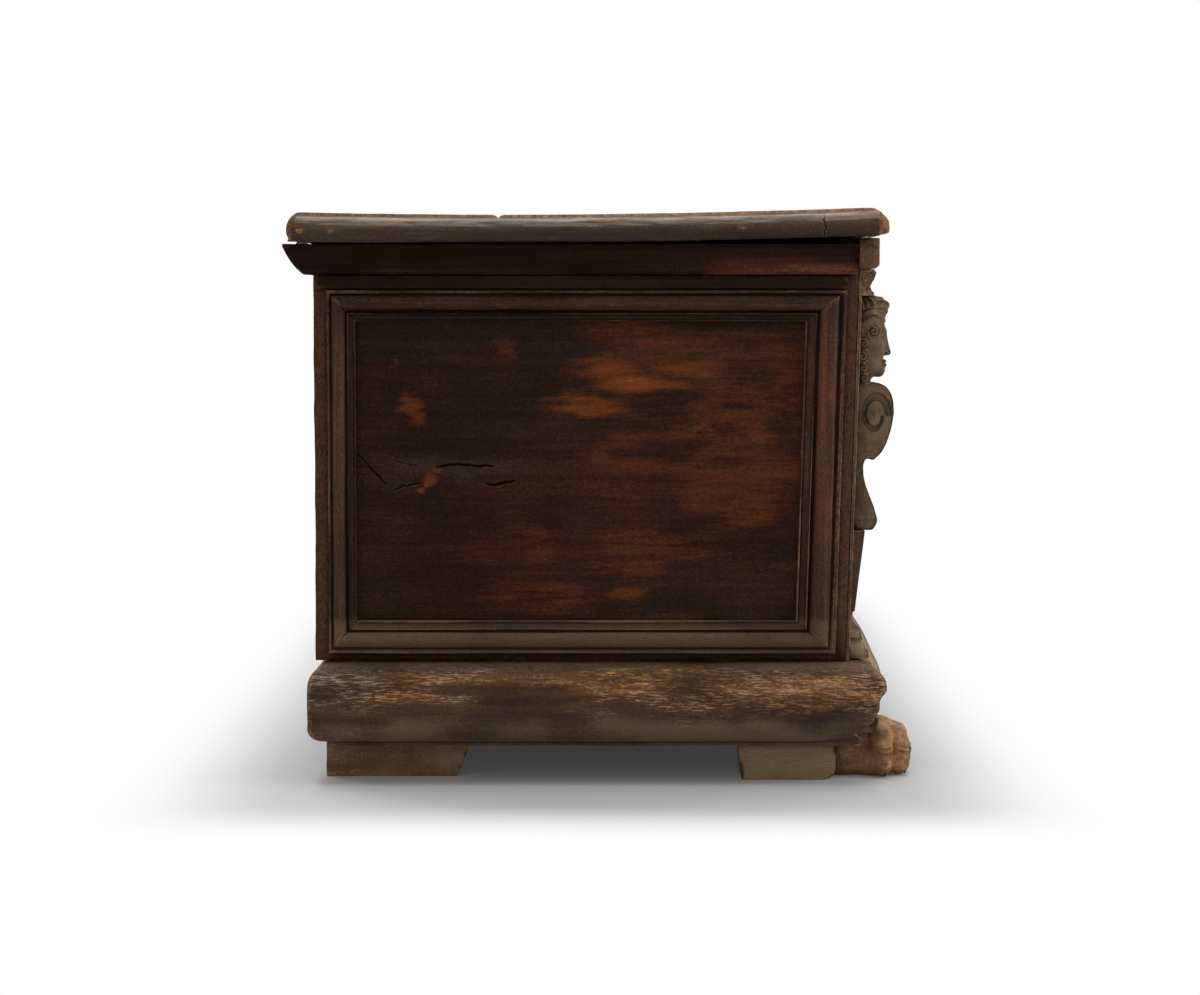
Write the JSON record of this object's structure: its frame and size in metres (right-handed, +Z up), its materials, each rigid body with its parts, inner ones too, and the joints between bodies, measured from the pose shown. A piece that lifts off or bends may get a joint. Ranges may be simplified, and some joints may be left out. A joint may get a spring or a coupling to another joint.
{
  "type": "cassone",
  "caption": "Low walnut chest with a hinged cupped lid, framed panels, herm pilasters at the front corners, a torus base and lion-paw feet.",
  "frame": {"origin": "middle of the chest's box on the floor, under the feet", "axes": "+X along the chest towards its right end seen from the front, front faces -Y, +Z up"},
  "size_m": [1.6506, 0.647, 0.5754],
  "materials": {
    "dark_walnut": "old dark stained and waxed walnut, worn at the arrises",
    "carved_walnut": "dusty carved walnut, worn to pale wood on high points",
    "bare_wood": "dry unpolished wood",
    "iron": "hand-forged iron, dark and slightly rusted"
  },
  "bodies": {
    "case": {"acanthus_leaf_left": "carved_walnut", "acanthus_leaf_right": "carved_walnut", "back_board": "bare_wood", "base_torus_back": "dark_walnut", "base_torus_front": "dark_walnut", "base_torus_left": "dark_walnut", "base_torus_right": "dark_walnut", "capital_left": "carved_walnut", "capital_right": "carved_walnut", "cornice_back": "dark_walnut", "cornice_front": "dark_walnut", "cornice_left": "dark_walnut", "cornice_right": "dark_walnut", "end_board_left": "dark_walnut", "end_board_right": "dark_walnut", "end_frieze_left": "dark_walnut", "end_frieze_right": "dark_walnut", "end_moulding_back_left": "dark_walnut", "end_moulding_back_right": "dark_walnut", "end_moulding_bottom_left": "dark_walnut", "end_moulding_bottom_right": "dark_walnut", "end_moulding_front_left": "dark_walnut", "end_moulding_front_right": "dark_walnut", "end_moulding_top_left": "dark_walnut", "end_moulding_top_right": "dark_walnut", "floor_board_back": "bare_wood", "floor_board_front": "bare_wood", "front_board": "dark_walnut", "front_foot_left": "dark_walnut", "front_foot_right": "dark_walnut", "front_frieze": "dark_walnut", "front_moulding_bottom_left": "dark_walnut", "front_moulding_bottom_right": "dark_walnut", "front_moulding_inner_left": "dark_walnut", "front_moulding_inner_right": "dark_walnut", "front_moulding_outer_left": "dark_walnut", "front_moulding_outer_right": "dark_walnut", "front_moulding_top_left": "dark_walnut", "front_moulding_top_right": "dark_walnut", "herm_left": "carved_walnut", "herm_right": "carved_walnut", "hinge_leaf_left": "iron", "hinge_leaf_right": "iron", "hinge_pins": "iron", "lion_paw_left": "carved_walnut", "lion_paw_right": "carved_walnut", "lock_case": "iron", "pilaster_left": "dark_walnut", "pilaster_right": "dark_walnut", "rear_foot_left": "dark_walnut", "rear_foot_right": "dark_walnut"},
    "lid": {"lid_board_front": "dark_walnut", "lid_board_back": "dark_walnut", "lid_end_moulding_left": "dark_walnut", "lid_end_moulding_right": "dark_walnut", "lid_battens": "bare_wood", "hinge_strap_left": "iron", "hinge_strap_right": "iron", "lid_staple": "iron"},
    "bolt": {"lock_bolt": "iron"}
  },
  "joints": [
    {"name": "lid_hinge", "type": "hinge", "parent": "case", "child": "lid", "pos_m": [0, 0.3175, 0.54163], "axis": [-1, 0, 0], "range_deg": [0, 95]},
    {"name": "bolt_slide", "type": "slide", "parent": "case", "child": "bolt", "axis": [1, 0, 0], "range_m": [0, 0.012]}
  ]
}
